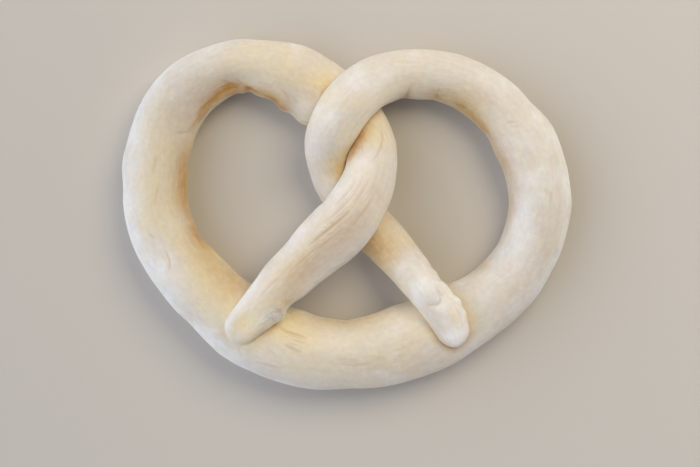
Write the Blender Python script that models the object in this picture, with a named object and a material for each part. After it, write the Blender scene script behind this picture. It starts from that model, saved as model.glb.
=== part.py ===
"""A shaped pretzel of raw dough, before proofing and baking.

One rope of dough lies in a big heart: its two ends cross at the top, twist once round each other and
come down as two arms, whose tips are pressed onto the rope at the bottom. The rope is swept along its
route, swollen and dented where hands left it so, and fused where it lies on itself, so the pretzel is
one solid. The origin is on the worktop, under the middle of the pretzel. Looked down on, +X is to the
right and +Y is to the top of the heart. +Z is up.
"""

import math

import bmesh
import bpy
import numpy as np
from mathutils import Vector, noise

MM = 0.001

# Stations of the rope, in millimetres: the x, y and height of its middle, its width, and its thickness
# before the worktop flattens its underside. They run from the tip of the left arm, once round the
# heart, to the tip of the right arm.
LEFT_ARM = [
    (-34.8, -39.6, 15.4, 8.8, 4.8),
    (-32.2, -35.1, 17.3, 10.9, 7.4),
    (-29.0, -31.4, 18.0, 12.2, 9.6),
    (-22.7, -24.8, 17.9, 13.9, 12.0),
    (-12.0, -13.9, 16.4, 15.8, 13.0),
    (-1.5, -3.4, 17.8, 18.4, 13.5),
    (5.4, 6.9, 16.8, 17.1, 14.0),
    (7.8, 18.0, 12.6, 16.4, 14.5),
    (4.5, 26.5, 8.3, 17.3, 13.5),
]
LEFT_LOOP = [
    (-2.0, 34.1, 6.2, 18.8, 12.8),
    (-12.0, 40.5, 6.5, 20.6, 13.6),
    (-23.5, 45.3, 7.0, 18.8, 15.0),
    (-34.8, 46.2, 7.0, 16.9, 15.0),
    (-46.8, 40.9, 7.3, 19.0, 16.0),
    (-55.5, 30.5, 7.5, 20.1, 16.5),
    (-59.6, 14.6, 7.7, 20.4, 17.0),
    (-58.7, -2.6, 7.7, 20.4, 17.0),
]
BOTTOM = [
    (-51.6, -15.8, 8.0, 21.2, 17.5),
    (-38.5, -29.3, 8.3, 22.7, 18.0),
    (-23.0, -39.6, 8.3, 23.2, 18.0),
    (-3.0, -43.8, 8.2, 22.2, 18.0),
    (17.0, -40.7, 8.2, 23.4, 18.0),
    (36.0, -31.5, 8.1, 22.6, 17.5),
]
RIGHT_LOOP = [
    (51.7, -19.7, 7.7, 19.6, 17.0),
    (59.4, -2.9, 7.5, 19.5, 16.5),
    (58.9, 14.0, 7.5, 19.6, 16.5),
    (50.7, 29.9, 6.9, 18.5, 15.5),
    (37.2, 40.7, 6.7, 16.6, 14.5),
    (22.5, 43.9, 7.2, 15.7, 14.2),
]
RIGHT_ARM = [
    (9.3, 41.3, 11.6, 15.8, 13.5),
    (-1.5, 31.4, 17.6, 16.0, 13.5),
    (-5.9, 22.0, 13.6, 14.6, 13.0),
    (-4.7, 13.1, 8.2, 14.0, 12.5),
    (0.9, 4.3, 6.0, 14.8, 12.6),
    (10.2, -6.6, 6.8, 14.7, 12.6),
    (19.0, -17.2, 12.6, 13.0, 12.0),
    (26.2, -26.0, 17.9, 11.5, 10.2),
    (31.3, -33.3, 17.6, 11.0, 7.2),
    (34.0, -41.0, 15.8, 8.3, 4.7),
]
STATIONS = LEFT_ARM + LEFT_LOOP + BOTTOM + RIGHT_LOOP + RIGHT_ARM

# Where the dough swells or was pressed in. Each row gives how far along the rope, in millimetres, and
# at which angle round it, in degrees, then the reach along it and round it, and the height, which is
# below nothing in a dent. Seen by someone walking along the rope, 0 degrees is the right-hand side, 90
# the top and 180 the left-hand side.
ARM_PRESSES = [
    (8.0, 85, 4.5, 45, -1.3),
    (15.5, 0, 1.8, 35, 0.7),
    (20.0, 0, 2.4, 35, -0.7),
    (36.0, 48, 17.0, 30, -0.8),
    (36.0, 125, 17.0, 30, 0.5),
    (500.0, 0, 10.0, 50, -0.55),
    (522.0, 95, 6.5, 60, -1.1),
    (514.5, 95, 2.4, 40, -0.7),
    (520.0, 182, 6.0, 25, 0.7),
]
LOOP_LUMPS = [
    (22.8, 5, 2.2, 35, -0.5),
    (25.5, 180, 6.0, 45, 0.7),
    (39.0, 180, 7.0, 50, 0.7),
    (44.0, 0, 11.0, 50, 0.45),
    (52.0, 180, 2.5, 45, -0.45),
    (72.5, 15, 7.0, 45, -0.5),
    (98.0, 180, 5.5, 50, 1.0),
    (103.5, 180, 3.5, 45, 1.2),
    (111.5, 180, 3.0, 50, 0.5),
    (112.0, 0, 5.0, 50, 0.4),
    (118.0, 180, 2.5, 50, -0.5),
    (122.0, 10, 5.0, 45, -0.45),
    (137.0, 0, 4.0, 50, -0.2),
    (147.0, 180, 4.5, 45, -0.35),
    (142.0, 136, 20.0, 32, -1.4),
    (146.0, 68, 22.0, 32, 0.5),
    (177.0, 142, 17.0, 30, -1.0),
    (178.0, 75, 20.0, 35, 0.3),
    (173.0, 0, 5.0, 55, 0.6),
    (171.5, 180, 3.5, 45, -0.4),
    (180.0, 0, 3.0, 55, -0.3),
    (201.5, 178, 4.0, 40, -0.8),
    (216.0, 142, 13.0, 28, -0.6),
    (220.0, 10, 4.5, 45, -0.45),
    (222.5, 178, 4.0, 40, -0.4),
]
HEART_LUMPS = [
    (233.0, 0, 6.0, 55, 0.6),
    (249.5, 176, 5.0, 40, 0.7),
    (254.0, 98, 26.0, 22, 0.5),
    (258.0, 142, 26.0, 22, -0.5),
    (256.5, 0, 7.0, 50, 0.3),
    (267.0, 5, 5.0, 45, -0.4),
    (266.5, 178, 3.0, 40, -0.45),
    (284.0, 180, 5.0, 50, 0.6),
    (295.0, 0, 6.0, 55, 0.5),
    (312.0, 178, 7.0, 45, -0.85),
    (331.5, 10, 4.0, 40, -0.4),
    (349.0, 5, 4.0, 45, 0.4),
    (350.0, 180, 9.0, 45, -0.45),
    (369.0, 0, 4.0, 55, 0.5),
    (369.0, 180, 4.0, 50, 0.4),
    (378.0, 0, 4.0, 55, -0.6),
    (378.0, 180, 4.0, 50, -0.4),
    (387.0, 15, 7.0, 50, -0.3),
    (390.0, 142, 13.0, 28, -0.8),
    (417.0, 180, 3.5, 50, -0.5),
    (458.0, 0, 5.0, 50, -0.4),
    (484.0, 168, 3.5, 40, -0.5),
]
LUMPS = ARM_PRESSES + LOOP_LUMPS + HEART_LUMPS
UNEVENNESS = 0.28
UNEVENNESS_SIZE = 11.0

# How the surface is divided, with rings of points in planes across the rope.
SECTION_SIDES = 26
SECTION_POWER = 1.9
RING_SPACING = 3.0
HEADING_STEP = 0.5
TIP_LENGTH = 4.6
TIP_RINGS = 5

# The rope is modelled in three lengths, which meet short of the upper crossing on its two sides.
LEFT_CUT = 118.0
RIGHT_CUT = 408.0

CREASE_ANGLE = math.radians(50)
RAW_DOUGH = (0.69, 0.59, 0.45, 1.0)


def natural_spline(knots, values):
    """A function that runs smoothly through the values, one row for each knot."""
    gaps = np.diff(knots)
    slopes = np.diff(values, axis=0) / gaps[:, None]
    matrix = np.eye(len(knots))
    right = np.zeros_like(values)
    for i in range(1, len(knots) - 1):
        matrix[i, i - 1 : i + 2] = gaps[i - 1], 2 * (gaps[i - 1] + gaps[i]), gaps[i]
        right[i] = 6 * (slopes[i] - slopes[i - 1])
    bends = np.linalg.solve(matrix, right)

    def at(where):
        i = int(np.clip(np.searchsorted(knots, where) - 1, 0, len(gaps) - 1))
        gap, before, after = gaps[i], where - knots[i], knots[i + 1] - where
        curved = (bends[i] * after**3 + bends[i + 1] * before**3) / (6 * gap)
        start = (values[i] / gap - bends[i] * gap / 6) * after
        end = (values[i + 1] / gap - bends[i + 1] * gap / 6) * before
        return curved + start + end

    return at


def rope_route():
    """The rope as a function of the length along it, and its whole length, in millimetres."""
    values = np.array(STATIONS, float)
    steps = np.linalg.norm(np.diff(values[:, :3], axis=0), axis=1)
    knots = np.concatenate([[0.0], np.cumsum(steps)])
    return natural_spline(knots, values), float(knots[-1])


def ring_places(length):
    """Lengths along the rope where a ring of points stands, closer together at the two tips."""
    rounds = [1 - math.cos(math.pi / 2 * i / TIP_RINGS) for i in range(1, TIP_RINGS)]
    start = [TIP_LENGTH * r for r in rounds]
    count = round((length - 2 * TIP_LENGTH) / RING_SPACING)
    middle = np.linspace(TIP_LENGTH, length - TIP_LENGTH, count + 1)
    return start + list(middle) + [length - s for s in reversed(start)]


def tip_share(along, length):
    """How much of its full section the rope has here: all of it, but for the two blunt tips."""
    from_tip = min(along, length - along)
    if from_tip >= TIP_LENGTH:
        return 1.0
    short = 1 - from_tip / TIP_LENGTH
    return (1 - short**SECTION_POWER) ** (1 / SECTION_POWER)


def lump_height(along, degrees):
    """How far the lumps and presses move the surface outwards at one place on the rope."""
    height = 0.0
    for where, angle, reach_along, reach_round, top in LUMPS:
        away = (along - where) / reach_along
        turned = ((degrees - angle + 180) % 360 - 180) / reach_round
        height += top * math.exp(-(away**2) - turned**2)
    return height


def rounded(value):
    """A sine or cosine turned into the same for the rope's section, a little leaner than an ellipse."""
    return math.copysign(abs(value) ** (2 / SECTION_POWER), value)


def ring_of_points(route, along, length):
    x, y, z, width, thickness = route(along)
    ahead = route(min(along + HEADING_STEP, length))
    behind = route(max(along - HEADING_STEP, 0.0))
    heading = Vector((ahead - behind)[:3]).normalized()
    side = Vector((heading.y, -heading.x, 0.0)).normalized()
    up = side.cross(heading)
    share = tip_share(along, length)
    ring = []
    for i in range(SECTION_SIDES):
        angle = 2 * math.pi * i / SECTION_SIDES
        across = side * (rounded(math.cos(angle)) * width / 2)
        above = up * (rounded(math.sin(angle)) * thickness / 2)
        outwards = (across + above).normalized()
        point = Vector((x, y, z)) + (across + above) * share
        swell = lump_height(along, math.degrees(angle))
        swell += UNEVENNESS * noise.noise(point / UNEVENNESS_SIZE)
        point += outwards * (swell * share)
        point.z = max(point.z, 0.0)
        ring.append(point)
    return ring


def length_of_rope(name, rings, tips):
    """A closed mesh through some of the rings, with a fan of faces to a point at each end of it."""
    bm = bmesh.new()
    rows = [[bm.verts.new(point) for point in ring] for ring in rings]
    for row, after in zip(rows, rows[1:]):
        for i in range(SECTION_SIDES):
            j = (i + 1) % SECTION_SIDES
            bm.faces.new((row[i], row[j], after[j], after[i]))
    for row, ring, tip in zip((rows[0], rows[-1]), (rings[0], rings[-1]), tips):
        middle = bm.verts.new(tip or sum(ring, Vector()) / SECTION_SIDES)
        for i in range(SECTION_SIDES):
            bm.faces.new((row[i], row[(i + 1) % SECTION_SIDES], middle))
    bmesh.ops.recalc_face_normals(bm, faces=bm.faces)
    bmesh.ops.scale(bm, vec=(MM, MM, MM), verts=bm.verts)
    mesh = bpy.data.meshes.new(name)
    bm.to_mesh(mesh)
    bm.free()
    return bpy.data.objects.new(name, mesh)


def rope_lengths():
    """The left arm, the heart and the right arm. Each ends on the very points where the next begins."""
    route, length = rope_route()
    places = ring_places(length)
    rings = [ring_of_points(route, along, length) for along in places]
    left = int(np.searchsorted(places, LEFT_CUT))
    right = int(np.searchsorted(places, RIGHT_CUT))
    first_tip = Vector(route(0.0)[:3])
    last_tip = Vector(route(length)[:3])
    return [
        length_of_rope("left_arm", rings[: left + 1], (first_tip, None)),
        length_of_rope("heart", rings[left : right + 1], (None, None)),
        length_of_rope("right_arm", rings[right:], (None, last_tip)),
    ]


def fused(lengths):
    """One closed mesh of the lengths of rope, joined end to end and where they lie on each other."""
    others = bpy.data.collections.new("fused_on")
    bpy.context.scene.collection.children.link(others)
    first = lengths[0]
    bpy.context.scene.collection.objects.link(first)
    for other in lengths[1:]:
        others.objects.link(other)
    union = first.modifiers.new("fused", "BOOLEAN")
    union.operation = "UNION"
    union.operand_type = "COLLECTION"
    union.collection = others
    depsgraph = bpy.context.evaluated_depsgraph_get()
    mesh = bpy.data.meshes.new_from_object(first.evaluated_get(depsgraph))
    for piece in lengths:
        bpy.data.objects.remove(piece)
    bpy.data.collections.remove(others)
    return mesh


def centre(mesh):
    """Moves the mesh so that the middle of its outline is over the origin."""
    corners = np.array([vertex.co for vertex in mesh.vertices])
    middle = (corners.min(axis=0) + corners.max(axis=0)) / 2
    for vertex in mesh.vertices:
        vertex.co -= Vector((middle[0], middle[1], 0.0))


def raw_dough():
    """Unbaked wheat dough: a pale cream with a dull, slightly waxy skin."""
    material = bpy.data.materials.new("raw_dough")
    material.use_nodes = True
    shader = material.node_tree.nodes["Principled BSDF"]
    shader.inputs["Base Color"].default_value = RAW_DOUGH
    shader.inputs["Roughness"].default_value = 0.55
    shader.inputs["Metallic"].default_value = 0.0
    return material


def main():
    for old in list(bpy.data.objects):
        bpy.data.objects.remove(old)
    mesh = fused(rope_lengths())
    mesh.name = "dough"
    centre(mesh)
    mesh.shade_smooth()
    mesh.set_sharp_from_angle(angle=CREASE_ANGLE)
    mesh.materials.append(raw_dough())
    dough = bpy.data.objects.new("dough", mesh)
    bpy.context.scene.collection.objects.link(dough)


main()
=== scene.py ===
"""The looks of a shaped pretzel of raw dough, before proofing and baking.

One rope of dough lies in a big heart. Its two ends cross at the top, twist once round each other and
are pressed onto the rope at the bottom. The rope is laid along its route by Geometry Nodes, with the
folds, presses and nicks that hands left in it, and is fused where it lies on itself.
"""

import math

import bpy
import numpy as np
from bpy.props import FloatProperty, FloatVectorProperty, IntProperty, PointerProperty
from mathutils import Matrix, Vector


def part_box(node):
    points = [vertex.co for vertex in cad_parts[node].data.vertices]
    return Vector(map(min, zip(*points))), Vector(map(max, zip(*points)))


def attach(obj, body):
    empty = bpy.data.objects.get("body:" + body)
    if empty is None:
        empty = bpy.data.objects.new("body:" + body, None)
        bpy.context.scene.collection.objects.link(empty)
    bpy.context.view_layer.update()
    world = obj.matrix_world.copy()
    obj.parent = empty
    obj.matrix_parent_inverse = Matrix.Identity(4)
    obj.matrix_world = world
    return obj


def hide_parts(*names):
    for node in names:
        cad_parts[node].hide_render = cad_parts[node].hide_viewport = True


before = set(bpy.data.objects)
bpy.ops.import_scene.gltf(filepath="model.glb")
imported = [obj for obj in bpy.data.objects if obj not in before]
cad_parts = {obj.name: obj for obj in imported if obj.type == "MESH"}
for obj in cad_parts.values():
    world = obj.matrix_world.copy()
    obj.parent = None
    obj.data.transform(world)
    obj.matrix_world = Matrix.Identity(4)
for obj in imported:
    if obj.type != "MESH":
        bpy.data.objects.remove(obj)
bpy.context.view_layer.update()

bl_info = {
    "name": "Raw Dough Pretzel",
    "version": (1, 0, 0),
    "blender": (4, 5, 0),
    "location": "View3D > Sidebar > Pretzel",
    "description": "Lays a rope of raw dough in the shape of a pretzel on a pale worktop",
    "category": "Add Mesh",
}

MM = 0.001

# Stations of the rope, in millimetres: the x, y and height of its middle, its width, and its thickness
# before the worktop flattens its underside. They run from the tip of the left arm, once round the
# heart, to the tip of the right arm.
LEFT_ARM = [
    (-34.8, -39.6, 15.4, 8.8, 4.8),
    (-32.2, -35.1, 17.3, 10.9, 7.4),
    (-29.0, -31.4, 18.0, 12.2, 9.6),
    (-22.7, -24.8, 17.9, 13.9, 12.0),
    (-12.0, -13.9, 16.4, 15.8, 13.0),
    (-1.5, -3.4, 17.8, 18.4, 13.5),
    (5.4, 6.9, 16.8, 17.1, 14.0),
    (7.8, 18.0, 12.6, 16.4, 14.5),
    (4.5, 26.5, 8.3, 17.3, 13.5),
]
LEFT_LOOP = [
    (-2.0, 34.1, 6.2, 18.8, 12.8),
    (-12.0, 40.5, 6.5, 20.6, 13.6),
    (-23.5, 45.3, 7.0, 18.8, 15.0),
    (-34.8, 46.2, 7.0, 16.9, 15.0),
    (-46.8, 40.9, 7.3, 19.0, 16.0),
    (-55.5, 30.5, 7.5, 20.1, 16.5),
    (-59.6, 14.6, 7.7, 20.4, 17.0),
    (-58.7, -2.6, 7.7, 20.4, 17.0),
]
BOTTOM = [
    (-51.6, -15.8, 8.0, 21.2, 17.5),
    (-38.5, -29.3, 8.3, 22.7, 18.0),
    (-23.0, -39.6, 8.3, 23.2, 18.0),
    (-3.0, -43.8, 8.2, 22.2, 18.0),
    (17.0, -40.7, 8.2, 23.4, 18.0),
    (36.0, -31.5, 8.1, 22.6, 17.5),
]
RIGHT_LOOP = [
    (51.7, -19.7, 7.7, 19.6, 17.0),
    (59.4, -2.9, 7.5, 19.5, 16.5),
    (58.9, 14.0, 7.5, 19.6, 16.5),
    (50.7, 29.9, 6.9, 18.5, 15.5),
    (37.2, 40.7, 6.7, 16.6, 14.5),
    (22.5, 43.9, 7.2, 15.7, 14.2),
]
RIGHT_ARM = [
    (9.3, 41.3, 11.6, 15.8, 13.5),
    (-1.5, 31.4, 17.6, 16.0, 13.5),
    (-5.9, 22.0, 13.6, 14.6, 13.0),
    (-4.7, 13.1, 8.2, 14.0, 12.5),
    (0.9, 4.3, 6.0, 14.8, 12.6),
    (10.2, -6.6, 6.8, 14.7, 12.6),
    (19.0, -17.2, 12.6, 13.0, 12.0),
    (26.2, -26.0, 17.9, 11.5, 10.2),
    (31.3, -33.3, 17.6, 11.0, 7.2),
    (34.0, -41.0, 15.8, 8.3, 4.7),
]
STATIONS = LEFT_ARM + LEFT_LOOP + BOTTOM + RIGHT_LOOP + RIGHT_ARM

# Places on the rope are given by how far along it they are, in millimetres, and by an angle round it,
# in degrees. Seen by someone walking along the rope, 0 degrees is the right-hand side, 90 the top and
# 180 the left-hand side, which is the inner side of the loops.

# Where the dough swells or was pressed in. Each row gives the place, the reach along the rope and round
# it, and the height, which is below nothing in a dent.
ARM_PRESSES = [
    (8.0, 85, 4.5, 45, -1.3),
    (15.5, 0, 1.8, 35, 0.7),
    (20.0, 0, 2.4, 35, -0.7),
    (36.0, 48, 17.0, 30, -0.8),
    (36.0, 125, 17.0, 30, 0.5),
    (500.0, 0, 10.0, 50, -0.55),
    (522.0, 95, 6.5, 60, -1.1),
    (514.5, 95, 2.4, 40, -0.7),
    (520.0, 182, 6.0, 25, 0.7),
]
LOOP_LUMPS = [
    (22.8, 5, 2.2, 35, -0.5),
    (25.5, 180, 6.0, 45, 0.7),
    (39.0, 180, 7.0, 50, 0.7),
    (44.0, 0, 11.0, 50, 0.45),
    (52.0, 180, 2.5, 45, -0.45),
    (72.5, 15, 7.0, 45, -0.5),
    (98.0, 180, 5.5, 50, 1.0),
    (103.5, 180, 3.5, 45, 1.2),
    (111.5, 180, 3.0, 50, 0.5),
    (112.0, 0, 5.0, 50, 0.4),
    (118.0, 180, 2.5, 50, -0.5),
    (122.0, 10, 5.0, 45, -0.45),
    (137.0, 0, 4.0, 50, -0.2),
    (147.0, 180, 4.5, 45, -0.35),
    (142.0, 136, 20.0, 32, -1.4),
    (146.0, 68, 22.0, 32, 0.5),
    (177.0, 142, 17.0, 30, -1.0),
    (178.0, 75, 20.0, 35, 0.3),
    (173.0, 0, 5.0, 55, 0.6),
    (171.5, 180, 3.5, 45, -0.4),
    (180.0, 0, 3.0, 55, -0.3),
    (201.5, 178, 4.0, 40, -0.8),
    (216.0, 142, 13.0, 28, -0.6),
    (220.0, 10, 4.5, 45, -0.45),
    (222.5, 178, 4.0, 40, -0.4),
]
HEART_LUMPS = [
    (233.0, 0, 6.0, 55, 0.6),
    (249.5, 176, 5.0, 40, 0.7),
    (254.0, 98, 26.0, 22, 0.5),
    (258.0, 142, 26.0, 22, -0.5),
    (256.5, 0, 7.0, 50, 0.3),
    (267.0, 5, 5.0, 45, -0.4),
    (266.5, 178, 3.0, 40, -0.45),
    (284.0, 180, 5.0, 50, 0.6),
    (295.0, 0, 6.0, 55, 0.5),
    (312.0, 178, 7.0, 45, -0.85),
    (331.5, 10, 4.0, 40, -0.4),
    (349.0, 5, 4.0, 45, 0.4),
    (350.0, 180, 9.0, 45, -0.45),
    (369.0, 0, 4.0, 55, 0.5),
    (369.0, 180, 4.0, 50, 0.4),
    (378.0, 0, 4.0, 55, -0.6),
    (378.0, 180, 4.0, 50, -0.4),
    (387.0, 15, 7.0, 50, -0.3),
    (390.0, 142, 13.0, 28, -0.8),
    (417.0, 180, 3.5, 50, -0.5),
    (458.0, 0, 5.0, 50, -0.4),
    (484.0, 168, 3.5, 40, -0.5),
]
LUMPS = ARM_PRESSES + LOOP_LUMPS + HEART_LUMPS

# Small swellings and dents that only show close up, in rows like those above.
RIM_BUMPS = [
    (447.0, 165, 7.0, 30, 0.5),
    (110.5, 172, 1.8, 22, 0.35),
    (114.6, 176, 1.5, 26, -0.55),
    (119.5, 174, 2.4, 22, 0.35),
    (125.6, 176, 1.5, 26, -0.6),
    (129.0, 168, 1.8, 18, 0.4),
    (134.0, 166, 2.6, 13, 0.45),
    (141.0, 168, 3.0, 13, 0.5),
    (148.0, 168, 3.0, 13, 0.45),
    (404.0, 172, 2.6, 25, -0.4),
    (410.0, 170, 3.0, 20, 0.25),
]
PRESSED_TIPS = [
    (512.2, 94, 2.6, 34, 0.75),
    (516.8, 92, 1.6, 38, -0.7),
    (515.0, 126, 1.8, 12, -0.35),
    (503.5, 158, 1.2, 20, 0.3),
    (506.3, 162, 1.1, 20, -0.4),
    (508.6, 160, 1.2, 20, 0.35),
    (511.2, 164, 1.1, 22, -0.35),
    (513.6, 158, 1.2, 22, 0.45),
    (517.2, 170, 1.0, 18, -0.45),
    (519.3, 164, 1.1, 18, 0.65),
    (521.2, 168, 0.7, 17, -0.45),
    (522.9, 160, 1.0, 18, 0.4),
    (524.7, 166, 0.7, 17, -0.4),
    (527.0, 152, 1.2, 18, 0.3),
    (11.5, 30, 1.4, 25, 0.3),
    (17.6, 10, 1.0, 26, 0.6),
    (18.4, 50, 1.2, 12, 0.45),
    (16.9, 40, 0.6, 14, -0.4),
    (15.4, 44, 0.8, 12, 0.45),
    (14.1, 30, 0.7, 16, -0.45),
    (12.4, 56, 0.9, 12, 0.3),
    (20.2, 40, 0.7, 16, -0.4),
    (6.5, 140, 4.0, 22, 0.25),
]
BUMPS = RIM_BUMPS + PRESSED_TIPS

# Folds and creases in the skin. Each row gives the places that the crease runs through, its width and
# depth in millimetres, and how much painted shade darkens it, from 0 to 1. A ridge has a depth below nothing.
LEFT_ARM_CREASES = [
    ([(14.9, 112), (21.4, 110), (27.4, 108), (33.4, 106)], 0.5, 0.08, 0.07),
    ([(30.0, 98), (36.0, 97), (42.0, 96)], 0.45, 0.1, 0.14),
    ([(38.4, 110), (44.4, 106), (50.4, 101), (54.9, 96)], 0.45, 0.14, 0.26),
    ([(38.0, 92), (44.0, 88), (49.0, 84)], 0.5, 0.09, 0.12),
    ([(47.0, 118), (54.0, 112), (60.0, 107), (66.0, 104)], 0.5, 0.1, 0.12),
    ([(56.4, 98), (60.9, 94), (65.4, 90)], 0.5, 0.1, 0.12),
    ([(53.4, 124), (57.9, 122), (62.4, 117)], 0.5, 0.1, 0.12),
    ([(52.0, 74), (58.0, 70), (63.0, 68)], 0.5, 0.09, 0.1),
    ([(60.0, 82), (65.0, 78), (70.0, 78)], 0.5, 0.08, 0.08),
    ([(69.4, 92), (72.4, 76), (75.4, 62), (79.4, 50)], 0.5, 0.1, 0.16),
    ([(71.4, 116), (74.9, 112)], 0.45, 0.08, 0.12),
]
LEFT_LOOP_FOLDS = [
    ([(131.0, 152), (132.4, 141), (134.4, 128), (136.4, 116)], 0.6, 0.15, 0.2),
    ([(128.4, 148), (129.4, 136), (130.9, 126)], 0.5, 0.1, 0.15),
    ([(132.0, 143), (137.4, 148), (142.9, 150), (147.9, 148), (151.4, 151)], 0.6, 0.14, 0.22),
    ([(140.4, 155), (146.9, 156), (151.4, 156), (155.9, 154), (159.4, 147)], 0.5, 0.12, 0.18),
    ([(129.9, 151), (133.4, 149), (137.4, 154)], 0.5, 0.12, 0.2),
    ([(129.4, 146), (133.4, 138), (138.4, 136)], 0.45, 0.1, 0.25),
    ([(143.9, 162), (149.4, 163), (154.9, 163)], 0.5, 0.14, 0.3),
    ([(158.4, 156), (160.2, 140), (161.6, 118)], 0.9, 0.16, 0.16),
    ([(163.4, 152), (170.4, 150), (177.4, 152)], 0.5, 0.1, 0.06),
    ([(120.4, 168), (124.9, 162), (128.9, 148)], 0.6, 0.2, 0.2),
    ([(121.4, 158), (125.9, 152), (128.4, 142)], 0.5, 0.12, 0.2),
    ([(108.9, 163), (111.9, 166), (115.4, 164), (118.4, 166)], 0.5, 0.16, 0.2),
    ([(120.4, 116), (121.9, 135)], 0.5, 0.07, 0.06),
    ([(116.4, 109), (117.9, 135)], 0.5, 0.07, 0.06),
    ([(110.4, 131), (113.4, 124)], 0.4, 0.08, 0.15),
    ([(169.9, 94), (175.4, 91)], 0.5, 0.07, 0.1),
    ([(177.9, 101), (185.9, 94)], 0.5, 0.07, 0.1),
    ([(199.4, 84), (202.9, 82), (205.4, 72)], 0.5, 0.13, 0.16),
    ([(193.4, 71), (194.9, 75)], 0.45, 0.1, 0.15),
]
BOTTOM_CREASES = [
    ([(242.6, 119), (245.6, 116), (249.3, 115), (253.6, 114)], 0.4, 0.07, 0.2),
    ([(248.2, 106), (251.2, 106), (253.6, 106)], 0.4, 0.05, 0.1),
    ([(246.8, 96), (249.7, 93), (252.8, 90)], 0.4, 0.06, 0.16),
    ([(241.0, 49), (243.4, 50), (245.6, 52), (248.9, 58)], 0.4, 0.06, 0.12),
    ([(241.9, 79), (245.4, 75)], 0.45, 0.05, 0.08),
    ([(234.9, 56), (237.4, 45)], 0.45, 0.06, 0.08),
    ([(263.6, 78), (268.0, 74), (273.9, 75)], 0.45, 0.07, 0.1),
    ([(263.0, 85), (267.0, 85), (271.0, 81)], 0.4, 0.06, 0.08),
]
RIGHT_LOOP_MARKS = [
    ([(415.0, 124), (415.6, 150), (415.9, 178)], 1.3, 0.32, 0.12),
    ([(403.4, 124), (403.9, 158)], 1.0, 0.22, 0.05),
    ([(390.4, 152), (396.4, 156)], 0.7, 0.14, 0.2),
    ([(376.4, 109), (375.2, 95), (374.4, 82), (374.3, 72), (374.4, 60)], 0.45, -0.16, 0.0),
    ([(377.3, 107), (375.3, 84)], 0.45, 0.12, 0.12),
    ([(371.9, 86), (371.4, 75), (368.9, 71)], 0.4, -0.07, 0.0),
    ([(363.9, 84), (362.6, 84), (362.4, 79), (363.9, 79)], 0.35, -0.09, 0.0),
    ([(352.9, 72), (348.9, 74)], 0.4, 0.06, 0.12),
]
RIGHT_ARM_PRESSES = [
    ([(515.0, 56), (516.4, 82), (516.6, 105), (515.9, 118), (513.6, 124)], 0.9, 0.3, 0.18),
    ([(509.0, 76), (511.0, 70), (513.5, 68)], 0.6, 0.14, 0.08),
    ([(511.9, 146), (515.4, 150), (518.4, 154), (521.4, 152), (524.4, 150), (527.4, 142)], 0.6, -0.45, 0.0),
    ([(512.6, 136), (515.9, 140), (518.9, 142), (522.4, 138), (525.4, 136)], 0.6, 0.2, 0.06),
    ([(513.4, 118), (515.4, 128), (515.9, 138)], 0.45, 0.1, 0.08),
    ([(511.6, 124), (513.2, 131), (513.4, 140)], 0.45, 0.08, 0.06),
]
CREASES = LEFT_ARM_CREASES + LEFT_LOOP_FOLDS + BOTTOM_CREASES + RIGHT_LOOP_MARKS + RIGHT_ARM_PRESSES

# How far the creases wander from side to side, in millimetres, and over what length.
WANDER = 0.12
WANDER_LENGTH = 3.5

# Patches in the skin's colour. Each row gives the place, the reach along the rope and round it, and
# the strength.

# Where the skin is yellower, above nothing, or paler and floury, below it.
TINTS = [
    (2.0, 90, 3.0, 60, -0.3),
    (7.9, 98, 2.6, 24, 0.6),
    (13.0, 148, 8.0, 24, -0.8),
    (19.0, 45, 4.0, 28, 0.6),
    (22.0, 110, 8.0, 40, 0.2),
    (34.0, 165, 22.0, 32, -0.6),
    (38.0, 108, 12.0, 28, 0.35),
    (57.0, 120, 10.0, 40, -0.3),
    (67.0, 85, 8.0, 40, -0.5),
    (78.0, 88, 5.0, 28, 0.5),
    (102.0, 70, 6.0, 40, 0.5),
    (106.0, 122, 5.0, 28, -0.6),
    (119.0, 156, 9.0, 22, 0.8),
    (123.0, 96, 12.0, 35, 0.4),
    (138.0, 60, 8.0, 30, -0.15),
    (158.0, 50, 10.0, 30, -0.15),
    (165.0, 185, 42.0, 50, 0.3),
    (172.0, 95, 9.0, 30, 0.35),
    (180.0, -5, 60.0, 45, -1.1),
    (205.0, 80, 10.0, 35, -0.6),
    (211.0, 130, 12.0, 50, 0.9),
    (218.0, 85, 10.0, 40, 0.55),
    (227.0, 125, 5.0, 40, -0.2),
    (236.0, 5, 24.0, 50, -0.6),
    (244.0, 138, 4.0, 26, 0.6),
    (250.0, 48, 9.0, 25, 0.5),
    (250.0, 118, 9.0, 30, 0.75),
    (256.0, 155, 20.0, 20, 0.5),
    (260.0, 78, 20.0, 18, 0.3),
    (266.0, 106, 9.0, 18, 0.15),
    (288.0, 75, 10.0, 40, -0.25),
    (296.0, 92, 5.0, 28, 0.4),
    (305.0, 80, 4.0, 25, 0.6),
    (308.0, 150, 5.0, 25, -0.4),
    (322.0, 90, 10.0, 40, -0.2),
    (329.0, 118, 16.0, 45, -0.7),
    (336.0, 142, 25.0, 28, -0.4),
    (345.0, 118, 18.0, 40, -0.5),
    (350.0, 25, 36.0, 30, -0.8),
    (375.0, 60, 14.0, 45, -0.4),
    (391.0, 142, 9.0, 35, 1.0),
    (409.5, 150, 5.0, 25, -0.2),
    (420.0, 60, 18.0, 60, -0.35),
    (438.0, 75, 8.0, 40, -0.2),
    (451.0, 148, 6.0, 25, 0.6),
    (459.0, 120, 6.0, 45, 0.7),
    (491.0, 62, 8.0, 60, 1.0),
    (501.0, 125, 5.0, 40, -0.5),
    (514.0, 110, 9.0, 50, -0.9),
    (515.0, 130, 3.0, 16, 0.6),
    (522.0, 116, 4.0, 30, 1.0),
    (527.0, 115, 7.0, 60, -0.9),
]
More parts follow.
